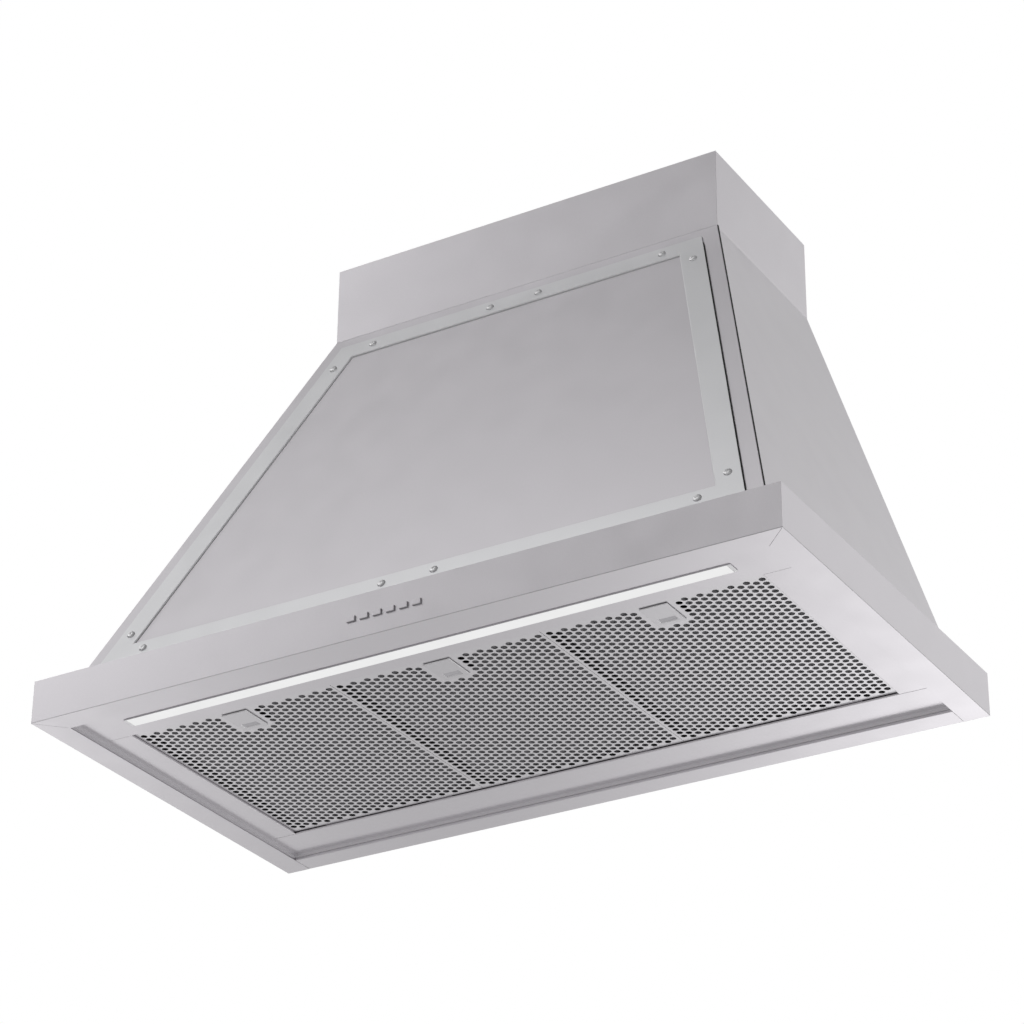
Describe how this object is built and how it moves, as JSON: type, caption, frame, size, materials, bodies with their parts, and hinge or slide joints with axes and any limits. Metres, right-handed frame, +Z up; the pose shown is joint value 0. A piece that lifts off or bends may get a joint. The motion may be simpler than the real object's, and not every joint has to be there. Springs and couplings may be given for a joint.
{
  "type": "wall-mounted canopy range hood",
  "caption": "Tapered canopy hood for a wall, with a framed front panel, push buttons, a light bar, hinged grease filters, a centrifugal blower and a round duct outlet.",
  "frame": {"origin": "bottom centre of the whole hood's box, at the underside of the rim", "axes": "+X to the right seen from the front, +Y towards the wall, +Z up along the duct"},
  "size_m": [0.9, 0.492, 0.658],
  "materials": {
    "satin_stainless": "satin, fine isotropic grain",
    "trim_stainless": "satin, a little cooler",
    "dark_ledge": "satin, in shadow",
    "bright_screws": "polished",
    "zinc_screws": "zinc plated",
    "galvanised_sheet": "galvanised",
    "motor_black": "satin black",
    "black_plastic": "moulded, matt",
    "grey_plastic": "moulded, matt",
    "light_grey_plastic": "moulded",
    "black_gasket": "matt",
    "opal_diffuser": "opal, lit white",
    "channel_aluminium": "anodised",
    "board_green": "solder mask",
    "button_metal": "satin",
    "filter_steel": "satin, perforated",
    "filter_mesh": "expanded mesh, dark in shadow",
    "latch_metal": "satin"
  },
  "bodies": {
    "root": {"rim_band": "satin_stainless", "rear_flange": "satin_stainless", "support_ledge": "dark_ledge", "light_panel": "satin_stainless", "rear_strip": "satin_stainless", "left_strip": "satin_stainless", "right_strip": "satin_stainless", "led_diffuser": "opal_diffuser", "led_end_caps": "light_grey_plastic", "led_channel": "channel_aluminium", "led_board": "board_green", "led_driver": "grey_plastic", "button_carrier": "black_plastic", "button_switches": "black_plastic", "control_board": "board_green", "front_panel": "satin_stainless", "left_side_panel": "satin_stainless", "right_side_panel": "satin_stainless", "back_plate": "galvanised_sheet", "top_plate": "galvanised_sheet", "collar": "satin_stainless", "trim_frame": "trim_stainless", "panel_gasket": "black_gasket", "centre_panel": "satin_stainless", "frame_screws": "bright_screws", "spigot_flange": "galvanised_sheet", "outlet_spigot": "black_plastic", "damper_pin": "zinc_screws", "blower_housing": "galvanised_sheet", "motor": "motor_black", "motor_plate": "galvanised_sheet", "blower_bracket": "galvanised_sheet", "blower_screws": "zinc_screws", "control_box": "black_plastic", "cable_gland": "black_plastic"},
    "button_1": {"button_1": "button_metal"},
    "button_2": {"button_2": "button_metal"},
    "button_3": {"button_3": "button_metal"},
    "button_4": {"button_4": "button_metal"},
    "button_5": {"button_5": "button_metal"},
    "button_6": {"button_6": "button_metal"},
    "fan": {"impeller": "galvanised_sheet", "motor_shaft": "zinc_screws"},
    "damper_front": {"damper_flap_front": "grey_plastic"},
    "damper_rear": {"damper_flap_rear": "grey_plastic"},
    "filter_left": {"filter_face_left": "filter_steel", "filter_mesh_left": "filter_mesh", "filter_retainer_left": "filter_steel", "latch_guide_left": "black_plastic"},
    "latch_left": {"filter_latch_left": "latch_metal"},
    "filter_middle": {"filter_face_middle": "filter_steel", "filter_mesh_middle": "filter_mesh", "filter_retainer_middle": "filter_steel", "latch_guide_middle": "black_plastic"},
    "latch_middle": {"filter_latch_middle": "latch_metal"},
    "filter_right": {"filter_face_right": "filter_steel", "filter_mesh_right": "filter_mesh", "filter_retainer_right": "filter_steel", "latch_guide_right": "black_plastic"},
    "latch_right": {"filter_latch_right": "latch_metal"}
  },
  "joints": [
    {"name": "button_1_press", "type": "slide", "parent": "root", "child": "button_1", "axis": [0, 1, 0], "range_m": [0, 0.0015], "stiffness_N_per_m": 800, "springref_m": -0.0006},
    {"name": "button_2_press", "type": "slide", "parent": "root", "child": "button_2", "axis": [0, 1, 0], "range_m": [0, 0.0015], "stiffness_N_per_m": 800, "springref_m": -0.0006},
    {"name": "button_3_press", "type": "slide", "parent": "root", "child": "button_3", "axis": [0, 1, 0], "range_m": [0, 0.0015], "stiffness_N_per_m": 800, "springref_m": -0.0006},
    {"name": "button_4_press", "type": "slide", "parent": "root", "child": "button_4", "axis": [0, 1, 0], "range_m": [0, 0.0015], "stiffness_N_per_m": 800, "springref_m": -0.0006},
    {"name": "button_5_press", "type": "slide", "parent": "root", "child": "button_5", "axis": [0, 1, 0], "range_m": [0, 0.0015], "stiffness_N_per_m": 800, "springref_m": -0.0006},
    {"name": "button_6_press", "type": "slide", "parent": "root", "child": "button_6", "axis": [0, 1, 0], "range_m": [0, 0.0015], "stiffness_N_per_m": 800, "springref_m": -0.0006},
    {"name": "fan_spin", "type": "hinge", "parent": "root", "child": "fan", "pos_m": [0, 0.058, 0.32], "axis": [1, 0, 0], "continuous": true},
    {"name": "damper_front_swing", "type": "hinge", "parent": "root", "child": "damper_front", "pos_m": [0, 0.133, 0.576], "axis": [-1, 0, 0], "range_deg": [0, 78]},
    {"name": "damper_rear_swing", "type": "hinge", "parent": "root", "child": "damper_rear", "pos_m": [0, 0.133, 0.576], "axis": [1, 0, 0], "range_deg": [0, 78]},
    {"name": "filter_left_swing", "type": "hinge", "parent": "root", "child": "filter_left", "pos_m": [0, 0.16155, 0.009], "axis": [1, 0, 0], "range_deg": [0, 70]},
    {"name": "latch_left_slide", "type": "slide", "parent": "filter_left", "child": "latch_left", "axis": [0, 1, 0], "range_m": [0, 0.006], "stiffness_N_per_m": 300, "springref_m": -0.002},
    {"name": "filter_middle_swing", "type": "hinge", "parent": "root", "child": "filter_middle", "pos_m": [0, 0.16155, 0.009], "axis": [1, 0, 0], "range_deg": [0, 70]},
    {"name": "latch_middle_slide", "type": "slide", "parent": "filter_middle", "child": "latch_middle", "axis": [0, 1, 0], "range_m": [0, 0.006], "stiffness_N_per_m": 300, "springref_m": -0.002},
    {"name": "filter_right_swing", "type": "hinge", "parent": "root", "child": "filter_right", "pos_m": [0, 0.16155, 0.009], "axis": [1, 0, 0], "range_deg": [0, 70]},
    {"name": "latch_right_slide", "type": "slide", "parent": "filter_right", "child": "latch_right", "axis": [0, 1, 0], "range_m": [0, 0.006], "stiffness_N_per_m": 300, "springref_m": -0.002}
  ]
}
